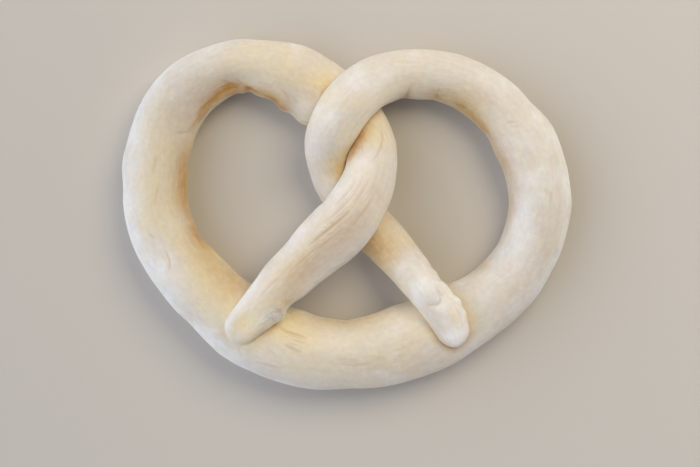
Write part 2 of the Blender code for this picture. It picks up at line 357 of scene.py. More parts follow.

# Painted warm shade: where the skin is coloured warm brown for shade in hollows, on inner flanks and beside
# folds and touching strands. The chain of small ones from 71 to 83 follows the groove between the two
# crossings.
PAINTED_WARM_SHADE = [
    (20.0, 40, 5.0, 25, 0.3),
    (30.0, 78, 9.0, 32, 0.35),
    (50.0, 76, 13.0, 34, 0.3),
    (71.3, 154, 2.2, 11, 0.5),
    (73.6, 140, 2.6, 13, 0.75),
    (76.0, 124, 2.6, 13, 0.75),
    (78.3, 107, 2.4, 12, 0.7),
    (80.5, 92, 2.2, 11, 0.6),
    (82.5, 74, 2.2, 11, 0.45),
    (101.5, 81, 1.6, 18, 0.3),
    (104.0, 112, 6.0, 30, 0.18),
    (112.5, 157, 5.0, 20, 0.5),
    (113.5, 165, 3.0, 10, 0.4),
    (119.0, 157, 5.0, 16, 0.5),
    (126.0, 161, 4.0, 14, 0.55),
    (132.5, 148, 5.0, 18, 0.55),
    (133.0, 166, 4.0, 12, 0.3),
    (137.0, 125, 6.0, 18, 0.15),
    (139.0, 151, 6.0, 17, 0.5),
    (146.0, 150, 7.0, 15, 0.42),
    (147.0, 176, 9.0, 9, -0.35),
    (152.0, 112, 12.0, 30, 0.12),
    (153.0, 156, 5.5, 15, 0.25),
    (175.0, 162, 12.0, 30, 0.6),
    (190.0, 168, 14.0, 28, 0.4),
    (202.0, 164, 7.0, 24, 0.5),
    (213.0, 132, 12.0, 24, 0.25),
    (222.0, 158, 8.0, 20, 0.35),
    (223.0, 124, 3.0, 25, 0.2),
    (268.0, 162, 14.0, 16, 0.25),
    (282.0, 62, 12.0, 26, 0.16),
    (321.0, 162, 5.0, 22, 0.4),
    (329.0, 76, 8.0, 30, 0.15),
    (346.0, 162, 9.0, 20, 0.3),
    (366.0, 160, 10.0, 24, 0.5),
    (381.0, 164, 6.0, 16, 0.5),
    (389.0, 98, 8.0, 26, 0.2),
    (391.0, 160, 9.0, 24, 0.65),
    (398.0, 128, 8.0, 22, 0.15),
    (403.2, 158, 2.6, 24, 0.3),
    (406.0, 150, 7.0, 24, 0.25),
    (415.5, 165, 2.0, 22, 0.4),
    (459.0, 115, 6.0, 28, 0.35),
    (484.5, 140, 3.0, 35, 0.35),
    (491.0, 56, 8.0, 45, 0.6),
    (498.0, 106, 5.0, 40, 0.15),
]

# Painted light and shade: where the skin's colour is darkened as painted shade, above nothing, or
# lightened as painted light, below it. The last value is the share of its light.
PAINTED_LIGHT_AND_SHADE = [
    (7.0, 72, 6.0, 45, -0.12),
    (62.0, 110, 9.0, 28, -0.1),
    (112.0, 125, 5.0, 30, 0.08),
    (116.0, 165, 5.0, 20, 0.08),
    (126.0, 150, 4.0, 22, -0.12),
    (145.0, 157, 9.0, 24, 0.12),
    (152.0, 72, 15.0, 45, 0.12),
    (165.0, 10, 25.0, 50, 0.05),
    (207.0, 75, 7.0, 25, -0.08),
    (243.0, 80, 8.0, 25, -0.06),
    (258.0, 122, 16.0, 25, -0.1),
    (290.0, 133, 6.0, 25, -0.08),
    (328.0, 145, 7.0, 25, 0.08),
    (331.0, 55, 9.0, 35, 0.06),
    (340.0, 100, 18.0, 60, 0.06),
    (405.5, 155, 6.0, 22, -0.2),
    (447.0, 135, 4.0, 25, -0.08),
    (491.0, 54, 6.0, 35, -0.24),
    (521.0, 125, 8.0, 50, -0.14),
    (529.0, 60, 4.0, 60, -0.1),
]

# Where the skin is torn and crumbly.
CRUMBLY = [
    (14.5, 54, 3.5, 22, 1.0),
    (18.0, 36, 2.5, 20, 1.0),
    (23.0, 42, 3.0, 18, 0.4),
    (113.0, 158, 5.0, 12, 0.5),
]

# Where the painted shade beside touching strands is faded out, so that little or none of its dark line shows.
CONTACT_SHADE_FADES = [
    (0.0, 60, 2.5, 70, 1.0),
    (1.0, 130, 6.0, 90, 1.0),
    (3.0, 175, 7.0, 60, 0.8),
    (14.0, 175, 9.0, 40, 0.3),
    (98.0, 60, 8.0, 70, 0.5),
    (222.0, 120, 6.0, 24, 0.7),
    (228.0, 96, 9.0, 38, 1.0),
    (234.0, 76, 5.0, 24, 1.0),
    (291.0, 110, 6.0, 40, 0.5),
    (306.0, 88, 5.0, 40, 0.85),
    (449.5, 143, 5.0, 18, 0.8),
    (492.0, 42, 7.0, 30, 0.6),
    (520.0, 0, 9.0, 40, 0.4),
    (522.0, 180, 11.0, 50, 0.85),
    (531.0, 90, 3.0, 90, 0.5),
]

PATCHES = {"tint": TINTS, "stain": PAINTED_WARM_SHADE, "dull": PAINTED_LIGHT_AND_SHADE, "crumbly": CRUMBLY, "blended": CONTACT_SHADE_FADES}

# How the surface is divided. The underside, between two angles in degrees, lies on the worktop and has
# fewer points.
TOP_SIDES = 88
UNDERSIDE_SIDES = 16
UNDERSIDE = (215.0, 325.0)
RING_SPACING = 0.6
TIP_LENGTH = 4.6
TIP_RINGS = 12
HEADING_STEP = 0.5
SECTION_POWER = 1.9
MEAN_RADIUS = 9.5

# The rope is modelled in three lengths, which meet short of the upper crossing on its two sides. The
# closed ends of two lengths that meet reach this many rings into each other.
LEFT_CUT = 118.0
RIGHT_CUT = 408.0
CAP_RINGS = 5
LENGTHS = 3

# Farther than this from a crease, in millimetres, nothing of it shows. Its two lips stand this many of
# its widths away, and rise by this share of its depth.
CREASE_REACH = 4.0
LIP_PLACE = 2.0
LIP_HEIGHT = 0.35

# A stretch line reaches this far from the middle value of its noise. There are such lines only where
# a broader noise is above the first of two values, and from the second on they are whole.
LINE_REACH = 0.035
LINE_SPREAD = (0.48, 0.7)

# The fine relief fades out over this height above the worktop, so that the dough lies flat on it.
RELIEF_START = 2 * MM

# The sizes that the rope's tree takes, each from the dough's setting of the same name.
SIZE_INPUTS = (
    *("Unevenness", "Unevenness size", "Line depth", "Line spacing", "Line length"),
    *("Ripple depth", "Ripple size", "Grain depth", "Grain size"),
    *("Crumb depth", "Crumb size", "Contact reach"),
)
TREE_INPUTS = {
    "Geometry": "NodeSocketGeometry",
    "Route": "NodeSocketObject",
    "Section power": "NodeSocketFloat",
    **dict.fromkeys(SIZE_INPUTS, "NodeSocketFloat"),
    "Melted place": "NodeSocketVector",
    "Melted reach": "NodeSocketFloat",
    "Seed": "NodeSocketInt",
    "Dough": "NodeSocketMaterial",
}

# How often the marks are smoothed along the seams, and the left tip into the heart below it. The middle
# of the melted tip is this far along the rope, in millimetres.
SEAM_PASSES = 8
MELTING_PASSES = 12
MELTED_PLACE = 2.0
MELTED_REACH = 6 * MM

# The skin's noise patterns, with the real size of each and how much finer detail it has. Single grains
# of flour are too fine to show, so the mottle stands for them and is drawn coarser.
PATTERNS = {
    "warmth": (22 * MM, 2.0),
    "flouring": (9 * MM, 5.0),
    "dimples": (2.2 * MM, 2.0),
    "mottle": (1.6 * MM, 3.0),
    "grain": (0.9 * MM, 3.0),
    "crumbs": (0.7 * MM, 2.0),
}
STREAK_LENGTH = 4 * MM
STREAK_WIDTH = 1.4 * MM
BUMP_HEIGHT = 0.14 * MM

# Lines of painted shade in the skin's colour: dark at the bottom of creases, warm brown beside them,
# and faintly warm brown in the stretch lines. Each gives the marks for how far off the line is and how
# strong it is, then how far its colour reaches, in the same measure, and how strong the colour is on the
# line.
LINES = {
    "crease": ("away", "crease", 0.4, 1.0),
    "painted_crease_halo": ("away", "crease", 0.9, 1.3),
    "stretch": ("line_wave", "line_strength", 0.04, 0.05),
}

SHARP_ANGLE = math.radians(45)

CAMERA_HEIGHT = 0.5
CAMERA_MIDDLE = (0.94 * MM, -6.06 * MM)
VIEW_WIDTH = 222.6 * MM
SENSOR_WIDTH = 36.0
CLIP_START = 10 * MM
LAMP_PLACE = (0.413, 0.492, 0.766)
LAMP_SIZE = 0.7
WORKTOP_SIZE = 6.0


def linear(hex_colour):
    """Scene-linear values of an sRGB colour written as #rrggbb, with a last value of 1 for opaque."""
    parts = [int(hex_colour[i : i + 2], 16) / 255 for i in (1, 3, 5)]
    values = [c / 12.92 if c <= 0.04045 else ((c + 0.055) / 1.055) ** 2.4 for c in parts]
    return (*values, 1.0)


def add_node(tree, kind, links=None, **settings):
    """Adds a node. links gives its inputs, by name or number: a node, an output or a plain value."""
    node = tree.nodes.new(kind)
    for name, value in settings.items():
        setattr(node, name, value)
    for key, value in (links or {}).items():
        if isinstance(value, bpy.types.Node):
            value = value.outputs[0]
        if isinstance(value, bpy.types.NodeSocket):
            tree.links.new(value, node.inputs[key])
        else:
            node.inputs[key].default_value = value
    return node


def natural_spline(knots, values):
    """A function that runs smoothly through the values, one row for each knot."""
    gaps = np.diff(knots)
    slopes = np.diff(values, axis=0) / gaps[:, None]
    matrix = np.eye(len(knots))
    right = np.zeros_like(values)
    for i in range(1, len(knots) - 1):
        matrix[i, i - 1 : i + 2] = gaps[i - 1], 2 * (gaps[i - 1] + gaps[i]), gaps[i]
        right[i] = 6 * (slopes[i] - slopes[i - 1])
    bends = np.linalg.solve(matrix, right)

    def at(where):
        where = np.asarray(where, float)
        i = np.clip(np.searchsorted(knots, where) - 1, 0, len(gaps) - 1)
        gap = gaps[i][:, None]
        before = (where - knots[i])[:, None]
        after = (knots[i + 1] - where)[:, None]
        curved = (bends[i] * after**3 + bends[i + 1] * before**3) / (6 * gap)
        start = (values[i] / gap - bends[i] * gap / 6) * after
        end = (values[i + 1] / gap - bends[i + 1] * gap / 6) * before
        return curved + start + end

    return at


def rope_route():
    """The rope as a function of lengths along it, and its whole length, in millimetres."""
    values = np.array(STATIONS, float)
    steps = np.linalg.norm(np.diff(values[:, :3], axis=0), axis=1)
    knots = np.concatenate([[0.0], np.cumsum(steps)])
    return natural_spline(knots, values), float(knots[-1])


def ring_places(length):
    """Lengths along the rope of its two ends and of the rings of points between them."""
    rounds = [1 - math.cos(math.pi / 2 * i / TIP_RINGS) for i in range(TIP_RINGS)]
    start = [TIP_LENGTH * r for r in rounds]
    count = round((length - 2 * TIP_LENGTH) / RING_SPACING)
    middle = np.linspace(TIP_LENGTH, length - TIP_LENGTH, count + 1)
    return np.array(start + list(middle) + [length - s for s in reversed(start)])


def ring_turns():
    """Angles round the rope, in degrees, of the points in a ring. They start and end underneath."""
    low, high = UNDERSIDE
    middle = (low + high) / 2
    half = UNDERSIDE_SIDES // 2
    first = np.linspace(middle - 360, high - 360, half, endpoint=False)
    top = np.linspace(high - 360, low, TOP_SIDES, endpoint=False)
    last = np.linspace(low, middle, half, endpoint=False)
    return np.concatenate([first, top, last])


def tip_shares(places, length):
    """How much of its full section the rope has at each ring: all of it, but for the two blunt tips."""
    from_tip = np.minimum(places, length - places)
    short = 1 - np.minimum(from_tip / TIP_LENGTH, 1.0)
    return (1 - short**SECTION_POWER) ** (1 / SECTION_POWER)


def patch(along, turns, row):
    """A smooth patch on the skin, as high as the last value of its row in the middle."""
    where, angle, reach_along, reach_round, top = row
    away = (along - where) / reach_along
    turned = ((turns - angle + 180) % 360 - 180) / reach_round
    return top * np.exp(-(away**2) - turned**2)


def crease(along, turns, points):
    """How far each point of the skin is from a crease, below nothing on its right, and its fading."""
    to_mm = math.radians(1) * MEAN_RADIUS
    stops = np.array([(where, angle * to_mm) for where, angle in points])
    legs = np.diff(stops, axis=0)
    lengths = np.linalg.norm(legs, axis=1)
    starts = np.concatenate([[0.0], np.cumsum(lengths)])
    nearest = np.full(np.broadcast(along, turns).shape, np.inf)
    side = np.ones_like(nearest)
    share = np.zeros_like(nearest)
    for stop, leg, reach, start in zip(stops, legs, lengths, starts):
        x = along - stop[0]
        y = turns * to_mm - stop[1]
        t = np.clip((x * leg[0] + y * leg[1]) / reach**2, 0, 1)
        away = np.hypot(x - t * leg[0], y - t * leg[1])
        closer = away < nearest
        nearest = np.where(closer, away, nearest)
        side = np.where(closer, np.sign(leg[0] * y - leg[1] * x), side)
        share = np.where(closer, (start + t * reach) / starts[-1], share)
    fading = np.sqrt(np.clip(np.sin(math.pi * share), 0, 1))
    return side * nearest, fading


def wander(along, turns):
    """A gentle waver, in millimetres, that keeps creases from running dead straight.

    Its waves run at odd angles and lengths, so it doesn't repeat.
    """
    x = along / WANDER_LENGTH
    y = np.radians(turns) * MEAN_RADIUS / WANDER_LENGTH
    slow = np.sin(1.9 * x + 1.3 * y) + np.sin(1.1 * x - 2.3 * y + 1.7)
    quick = np.sin(4.3 * x + 3.1 * y + 0.6) * np.sin(3.7 * y - 2.9 * x)
    return WANDER * (0.5 * slow + 0.6 * quick)


def hand_marks(along, turns):
    """What hands left at each point of the skin, as a dictionary of named values.

    swell is how far the skin stands out. away is the distance from the nearest crease, in millimetres,
    and crease is how much painted shade darkens that crease. The rest are the strengths of the patches,
    some of them painted shade and painted light.
    """
    height = sum(patch(along, turns, row) for row in LUMPS + BUMPS)
    away = np.full_like(height, CREASE_REACH)
    dark = np.zeros_like(height)
    waver = wander(along, turns)
    for points, width, depth, darkness in CREASES:
        distance, fading = crease(along, turns, points)
        distance = distance + waver
        valley = np.exp(-((distance / width) ** 2)) * fading
        lips = np.exp(-((np.abs(distance) / width - LIP_PLACE) ** 2)) * fading
        height += depth * (LIP_HEIGHT * lips - valley)
        # A crease's darkness is painted shade along it.
        nearer = (np.abs(distance) < np.abs(away)) & (darkness > 0)
        away = np.where(nearer, distance, away)
        dark = np.where(nearer, darkness * fading, dark)
    marks = {"swell": height, "away": away, "crease": dark}
    for name, rows in PATCHES.items():
        marks[name] = sum(patch(along, turns, row) for row in rows)
    return marks


def store(mesh, name, kind, values, field="value"):
    """Keeps one value for each point of the mesh, under a name that nodes can read."""
    attribute = mesh.attributes.new(name, kind, "POINT")
    attribute.data.foreach_set(field, np.ascontiguousarray(values).ravel())


def route_object(route, length, places):
    """One point for each ring of the rope, with the rope's heading and size there."""
    x, y, z, width, thickness = route(places).T
    ahead = route(np.minimum(places + HEADING_STEP, length))
    behind = route(np.maximum(places - HEADING_STEP, 0.0))
    heading = (ahead - behind)[:, :3]
    heading /= np.linalg.norm(heading, axis=1)[:, None]
    mesh = bpy.data.meshes.new("route")
    mesh.from_pydata(np.stack([x, y, z], axis=1) * MM, [], [])
    store(mesh, "heading", "FLOAT_VECTOR", heading.astype(np.float32), "vector")
    store(mesh, "width", "FLOAT", (width * MM).astype(np.float32))
    store(mesh, "thickness", "FLOAT", (thickness * MM).astype(np.float32))
    rope = bpy.data.objects.new("route", mesh)
    bpy.context.scene.collection.objects.link(rope)
    return rope


def strand_faces(rings, sides, first):
    """Faces of one closed length of rope, whose points are numbered from first, ring after ring."""
    number = first + np.arange(rings * sides).reshape(rings, sides)
    after = np.roll(number, -1, axis=1)
    skin = np.stack([number[:-1], number[1:], after[1:], after[:-1]], axis=-1).reshape(-1, 4)
    start, end = first + rings * sides, first + rings * sides + 1
    fan = [(start, number[0, i], after[0, i]) for i in range(sides)]
    fan += [(end, after[-1, i], number[-1, i]) for i in range(sides)]
    return skin.tolist() + fan


def skin_object(route, length, places):
    """The rope's skin in three closed lengths, as points that know their ring and angle.

    Each length's points are its rings, then the middles of its two ends.
    """
    turns = ring_turns()
    sides = len(turns)
    final = len(places) - 1
    left, right = np.searchsorted(places, (LEFT_CUT, RIGHT_CUT))
    spans = [(1, left), (left, right), (right, final - 1)]
    marks = hand_marks(places[:, None], turns[None, :])
    shares = tip_shares(places, length)
    rows = {name: [] for name in ("ring", "turn", "share", "strand", *marks)}
    faces = []
    for strand, (first, last) in enumerate(spans):
        rings = np.arange(first, last + 1)
        faces += strand_faces(len(rings), sides, sum(map(len, rows["ring"])))
        ends = np.clip([first - CAP_RINGS, last + CAP_RINGS], 0, final)
        rows["ring"].append(np.concatenate([np.repeat(rings, sides), ends]))
        rows["turn"].append(np.concatenate([np.tile(np.radians(turns), len(rings)), [0.0, 0.0]]))
        rows["share"].append(np.concatenate([np.repeat(shares[rings], sides), [0.0, 0.0]]))
        for name, values in marks.items():
            rows[name].append(np.concatenate([values[rings].ravel(), [0.0, 0.0]]))
        rows["strand"].append(np.full(len(rings) * sides + 2, strand))
    rows = {name: np.concatenate(parts) for name, parts in rows.items()}
    count = len(rows["ring"])
    mesh = bpy.data.meshes.new("dough")
    mesh.from_pydata(np.zeros((count, 3)), [], faces)
    for name in ("ring", "strand"):
        store(mesh, name, "INT", rows[name].astype(np.int32))
    for name in ("turn", "share", *marks):
        store(mesh, name, "FLOAT", rows[name].astype(np.float32))
    store(mesh, "skin", "FLOAT", np.ones(count, np.float32))
    add_rope_map(mesh, rows["ring"], rows["turn"], places)
    skin = bpy.data.objects.new("dough", mesh)
    bpy.context.scene.collection.objects.link(skin)
    return skin


def add_rope_map(mesh, ring, turn, places):
    """A UV map in metres: the length along the rope, and the way round it, which starts underneath."""
    corner = np.zeros(len(mesh.loops), np.int32)
    mesh.loops.foreach_get("vertex_index", corner)
    face_starts = np.zeros(len(mesh.polygons), np.int32)
    mesh.polygons.foreach_get("loop_start", face_starts)
    turns = turn[corner]
    highest = np.repeat(np.maximum.reduceat(turns, face_starts), np.diff([*face_starts, len(corner)]))
    turns = np.where(highest - turns > math.pi, turns + 2 * math.pi, turns)
    values = np.stack([places[ring[corner]] * MM, turns * MEAN_RADIUS * MM], axis=1)
    layer = mesh.uv_layers.new(name="rope")
    layer.uv.foreach_set("vector", values.astype(np.float32).ravel())


def rope_tree():
    """Lays the skin along the route, gives it its fine relief, and fuses it where it meets itself."""
    tree = bpy.data.node_groups.new("Rope of dough", "GeometryNodeTree")
    for name, kind in TREE_INPUTS.items():
        tree.interface.new_socket(name=name, in_out="INPUT", socket_type=kind)
    tree.interface.new_socket(name="Geometry", in_out="OUTPUT", socket_type="NodeSocketGeometry")
    given = add_node(tree, "NodeGroupInput").outputs
    laid = laid_skin(tree, given)
    fused = fused_lengths(tree, laid)
    marked = marked_contact(tree, given, fused)
    melted = melted_tip(tree, given, marked)
    smooth = add_node(tree, "GeometryNodeSetShadeSmooth", {0: melted})
    whole = add_node(tree, "GeometryNodeRealizeInstances", {0: smooth})
    finished = add_node(tree, "GeometryNodeSetMaterial", {0: whole, "Material": given["Dough"]})
    add_node(tree, "NodeGroupOutput", {0: finished})
    return tree


def laid_skin(tree, given):
    """The skin's points set on the rope's sections, with the relief, and none below the worktop."""
    mark = {}
    for name, kind in (("ring", "INT"), ("turn", "FLOAT"), ("share", "FLOAT")):
        mark[name] = add_node(tree, "GeometryNodeInputNamedAttribute", {"Name": name}, data_type=kind)
    middle, offset = on_section(tree, given, mark["ring"], mark["turn"])
    outwards = add_node(tree, "ShaderNodeVectorMath", {0: offset}, operation="NORMALIZE")
    links = {0: offset, "Scale": mark["share"]}
    short = add_node(tree, "ShaderNodeVectorMath", links, operation="SCALE")
    plain = add_node(tree, "ShaderNodeVectorMath", {0: middle, 1: short}, operation="ADD")

    stored, line = stretch_lines(tree, given, mark["turn"])
    relief = skin_relief(tree, given, plain, line)
    height = add_node(tree, "ShaderNodeSeparateXYZ", {0: plain}).outputs["Z"]
    links = {"Value": height, "From Min": 0.0, "From Max": RELIEF_START}
    clear = add_node(tree, "ShaderNodeMapRange", links, interpolation_type="SMOOTHSTEP")
    for share in (mark["share"], clear):
        relief = add_node(tree, "ShaderNodeMath", {0: relief, 1: share}, operation="MULTIPLY")
    moved = add_node(tree, "ShaderNodeVectorMath", {0: outwards, "Scale": relief}, operation="SCALE")
    point = add_node(tree, "ShaderNodeVectorMath", {0: plain, 1: moved}, operation="ADD")
    parts = add_node(tree, "ShaderNodeSeparateXYZ", {0: point}).outputs
    floor = add_node(tree, "ShaderNodeMath", {0: parts["Z"], 1: 0.0}, operation="MAXIMUM")
    links = {"X": parts["X"], "Y": parts["Y"], "Z": floor}
    above = add_node(tree, "ShaderNodeCombineXYZ", links)
    return add_node(tree, "GeometryNodeSetPosition", {0: stored, "Position": above})


def on_section(tree, given, ring, turn):
    """The rope's middle at a point's ring, and the way from it to the point on the plain section."""
    route = add_node(tree, "GeometryNodeObjectInfo", {"Object": given["Route"]}).outputs["Geometry"]
    kinds = {"position": "FLOAT_VECTOR", "heading": "FLOAT_VECTOR", "width": "FLOAT", "thickness": "FLOAT"}
    at_ring = {}
    for name, kind in kinds.items():
        field = add_node(tree, "GeometryNodeInputNamedAttribute", {"Name": name}, data_type=kind)
        links = {0: route, 1: field, 2: ring}
        at_ring[name] = add_node(tree, "GeometryNodeSampleIndex", links, data_type=kind)
    links = {0: at_ring["heading"], 1: (0.0, 0.0, 1.0)}
    level = add_node(tree, "ShaderNodeVectorMath", links, operation="CROSS_PRODUCT")
    side = add_node(tree, "ShaderNodeVectorMath", {0: level}, operation="NORMALIZE")
    links = {0: side, 1: at_ring["heading"]}
    up = add_node(tree, "ShaderNodeVectorMath", links, operation="CROSS_PRODUCT")
    power = add_node(tree, "ShaderNodeMath", {0: 2.0, 1: given["Section power"]}, operation="DIVIDE")
    arms = []
    for wave, way, size in (("COSINE", side, "width"), ("SINE", up, "thickness")):
        value = add_node(tree, "ShaderNodeMath", {0: turn}, operation=wave)
        sign = add_node(tree, "ShaderNodeMath", {0: value}, operation="SIGN")
        plain = add_node(tree, "ShaderNodeMath", {0: value}, operation="ABSOLUTE")
        squarer = add_node(tree, "ShaderNodeMath", {0: plain, 1: power}, operation="POWER")
        half = add_node(tree, "ShaderNodeMath", {0: at_ring[size], 1: 0.5}, operation="MULTIPLY")
        signed = add_node(tree, "ShaderNodeMath", {0: squarer, 1: sign}, operation="MULTIPLY")
        reach = add_node(tree, "ShaderNodeMath", {0: signed, 1: half}, operation="MULTIPLY")
        arms.append(add_node(tree, "ShaderNodeVectorMath", {0: way, "Scale": reach}, operation="SCALE"))
    offset = add_node(tree, "ShaderNodeVectorMath", {0: arms[0], 1: arms[1]}, operation="ADD")
    return at_ring["position"], offset


def skin_relief(tree, given, place, line):
    """How far the skin stands out: what hands left, ever finer waves over it, and the stretch lines."""
    attribute = "GeometryNodeInputNamedAttribute"
    swell = add_node(tree, attribute, {"Name": "swell"}, data_type="FLOAT")
    crumbly = add_node(tree, attribute, {"Name": "crumbly"}, data_type="FLOAT")
    torn = add_node(tree, "ShaderNodeMath", {0: crumbly, 1: given["Crumb depth"]}, operation="MULTIPLY")
    waves = {
        "Unevenness size": given["Unevenness"],
        "Ripple size": given["Ripple depth"],
        "Grain size": given["Grain depth"],
        "Crumb size": torn,
    }
    relief = add_node(tree, "ShaderNodeMath", {0: swell, 1: MM}, operation="MULTIPLY")
    for size, depth in waves.items():
        scale = add_node(tree, "ShaderNodeMath", {0: 1.0, 1: given[size]}, operation="DIVIDE")
        links = {"Vector": place, "W": given["Seed"], "Scale": scale, "Detail": 2.0}
        noise = add_node(tree, "ShaderNodeTexNoise", links, noise_dimensions="4D")
        centred = add_node(tree, "ShaderNodeMath", {0: noise, 1: 0.5}, operation="SUBTRACT")
        doubled = add_node(tree, "ShaderNodeMath", {0: depth, 1: 2.0}, operation="MULTIPLY")
        links = {0: centred, 1: doubled, 2: relief}
        relief = add_node(tree, "ShaderNodeMath", links, operation="MULTIPLY_ADD")
    sunk = add_node(tree, "ShaderNodeMath", {0: line, 1: given["Line depth"]}, operation="MULTIPLY")
    return add_node(tree, "ShaderNodeMath", {0: relief, 1: sunk}, operation="SUBTRACT")


def stretch_lines(tree, given, turn):
    """Fine lines along the rope, where rolling stretched its skin, kept as marks on the skin.

    A line runs where a long thin noise passes its middle value.
    """
    attribute = "GeometryNodeInputNamedAttribute"
    rope_map = add_node(tree, attribute, {"Name": "rope"}, data_type="FLOAT_VECTOR")
    along = add_node(tree, "ShaderNodeSeparateXYZ", {0: rope_map}).outputs["X"]
    links = {0: along, 1: given["Line length"]}
    lengths = add_node(tree, "ShaderNodeMath", links, operation="DIVIDE")
    links = {0: MEAN_RADIUS * MM, 1: given["Line spacing"]}
    spacings = add_node(tree, "ShaderNodeMath", links, operation="DIVIDE")
    waves = []
    for wave in ("COSINE", "SINE"):
        value = add_node(tree, "ShaderNodeMath", {0: turn}, operation=wave)
        waves.append(add_node(tree, "ShaderNodeMath", {0: value, 1: spacings}, operation="MULTIPLY"))
    where = add_node(tree, "ShaderNodeCombineXYZ", {0: lengths, 1: waves[0], 2: waves[1]})
    links = {"Vector": where, "W": given["Seed"], "Scale": 1.0, "Detail": 3.0}
    noise = add_node(tree, "ShaderNodeTexNoise", links, noise_dimensions="4D")
    centred = add_node(tree, "ShaderNodeMath", {0: noise, 1: 0.5}, operation="SUBTRACT")
    away = add_node(tree, "ShaderNodeMath", {0: centred}, operation="ABSOLUTE")
    links = {"Value": away, "From Min": 0.0, "From Max": LINE_REACH, "To Min": 1.0, "To Max": 0.0}
    ridge = add_node(tree, "ShaderNodeMapRange", links, interpolation_type="SMOOTHSTEP")
    links = {"Vector": where, "W": 7.0, "Scale": 0.35, "Detail": 1.0}
    spread = add_node(tree, "ShaderNodeTexNoise", links, noise_dimensions="4D")
    links = {"Value": spread, "From Min": LINE_SPREAD[0], "From Max": LINE_SPREAD[1]}
    there = add_node(tree, "ShaderNodeMapRange", links, interpolation_type="SMOOTHSTEP")
    line = add_node(tree, "ShaderNodeMath", {0: ridge, 1: there}, operation="MULTIPLY")
    stored = given["Geometry"]
    for name, value in (("line", line), ("line_wave", centred), ("line_strength", there)):
        links = {0: stored, "Name": name, "Value": value}
        stored = add_node(tree, "GeometryNodeStoreNamedAttribute", links, data_type="FLOAT")
    kept = add_node(tree, attribute, {"Name": "line"}, data_type="FLOAT")
    return stored, kept


def fused_lengths(tree, laid):
    """The three closed lengths of rope made one closed mesh."""
    strand = add_node(tree, "GeometryNodeInputNamedAttribute", {"Name": "strand"}, data_type="INT")
    union = add_node(tree, "GeometryNodeMeshBoolean", operation="UNION", solver="MANIFOLD")
    for number in range(LENGTHS):
        links = {2: strand, 3: number}
        chosen = add_node(tree, "FunctionNodeCompare", links, data_type="INT", operation="EQUAL")
        length = add_node(tree, "GeometryNodeSeparateGeometry", {0: laid, 1: chosen})
        tree.links.new(length.outputs[0], union.inputs["Mesh"])
    return union


def marked_contact(tree, given, fused):
    """Marks how close the skin is to where strands touch, and mends the other marks along the seams.

    The points that the fusing made are the ones without the mark of the skin.
    """
    attribute = "GeometryNodeInputNamedAttribute"
    skin = add_node(tree, attribute, {"Name": "skin"}, data_type="FLOAT")
    cut = add_node(tree, "FunctionNodeCompare", {0: skin, 1: 0.5}, operation="LESS_THAN")
    touching = add_node(tree, "GeometryNodeSeparateGeometry", {0: fused, 1: cut})
    links = {0: touching.outputs[0]}
    nearest = add_node(tree, "GeometryNodeProximity", links, target_element="POINTS")
    links = {"Value": nearest.outputs["Distance"], "From Min": 0.0, "From Max": given["Contact reach"]}
    links |= {"To Min": 1.0, "To Max": 0.0}
    contact = add_node(tree, "ShaderNodeMapRange", links)
    links = {0: fused, "Name": "contact", "Value": contact}
    marked = add_node(tree, "GeometryNodeStoreNamedAttribute", links, data_type="FLOAT")
    new = add_node(tree, "ShaderNodeMath", {0: 1.0, 1: skin}, operation="SUBTRACT")
    for name in PATCHES:
        mark = add_node(tree, attribute, {"Name": name}, data_type="FLOAT")
        links = {"Value": mark, "Iterations": SEAM_PASSES, "Weight": new}
        spread = add_node(tree, "GeometryNodeBlurAttribute", links, data_type="FLOAT")
        links = {0: marked, "Name": name, "Value": spread}
        marked = add_node(tree, "GeometryNodeStoreNamedAttribute", links, data_type="FLOAT")
    return marked


def melted_tip(tree, given, marked):
    """Smooths the very end of the left tip into the heart below it."""
    position = add_node(tree, "GeometryNodeInputPosition")
    links = {0: position, 1: given["Melted place"]}
    away = add_node(tree, "ShaderNodeVectorMath", links, operation="DISTANCE").outputs["Value"]
    links = {"Value": away, "From Min": 0.0, "From Max": given["Melted reach"]}
    links |= {"To Min": 1.0, "To Max": 0.0}
    weight = add_node(tree, "ShaderNodeMapRange", links, interpolation_type="SMOOTHSTEP")
    links = {"Value": position, "Iterations": MELTING_PASSES, "Weight": weight}
    blurred = add_node(tree, "GeometryNodeBlurAttribute", links, data_type="FLOAT_VECTOR")
    return add_node(tree, "GeometryNodeSetPosition", {0: marked, "Position": blurred})


def raw_dough(shape):
    """Raw wheat dough, rolled and floured by hand: pale, matt, and letting light a little way in.

    The warm brown in the hollows, on inner flanks and beside folds and touching strands is painted
    warm shade, and the dark at the bottom of creases is painted shade. The skin is satin, and chalky
    where flour lies on it.
    """
    material = bpy.data.materials.new("raw wheat dough")
    material.use_nodes = True
    tree = material.node_tree
    tree.nodes.clear()
    mark = {}
    for name in ("away", "crease", "line_wave", "line_strength", "contact", *PATCHES):
        mark[name] = add_node(tree, "ShaderNodeAttribute", attribute_name=name).outputs["Fac"]
    pattern = skin_patterns(tree)
    flour, colour = floured_colour(tree, shape, mark, pattern)
    shaded, painted_crease_shade = painted_shade_shares(tree, mark, pattern)
    # Painted warm shade, then painted dark shade in creases and where strands touch.
    for share, tone in ((shaded, shape.tan), (painted_crease_shade, shape.painted_crease_tone)):
        links = {0: share, 6: colour, 7: tuple(tone)}
        colour = add_node(tree, "ShaderNodeMix", links, data_type="RGBA").outputs[2]
    links = {"Value": flour, "From Max": 0.8, "To Min": 0.5, "To Max": 0.75}
    roughness = add_node(tree, "ShaderNodeMapRange", links)
    links = {
        "Base Color": colour,
        "Roughness": roughness,
        "Normal": fine_bump(tree, mark, pattern),
        "IOR": 1.4,
        "Specular IOR Level": 0.4,
        "Subsurface Weight": 0.5,
        "Subsurface Radius": (1.0, 0.55, 0.25),
        "Subsurface Scale": 1.3 * MM,
    }
    shader = add_node(tree, "ShaderNodeBsdfPrincipled", links)
    add_node(tree, "ShaderNodeOutputMaterial", {"Surface": shader})
    return material


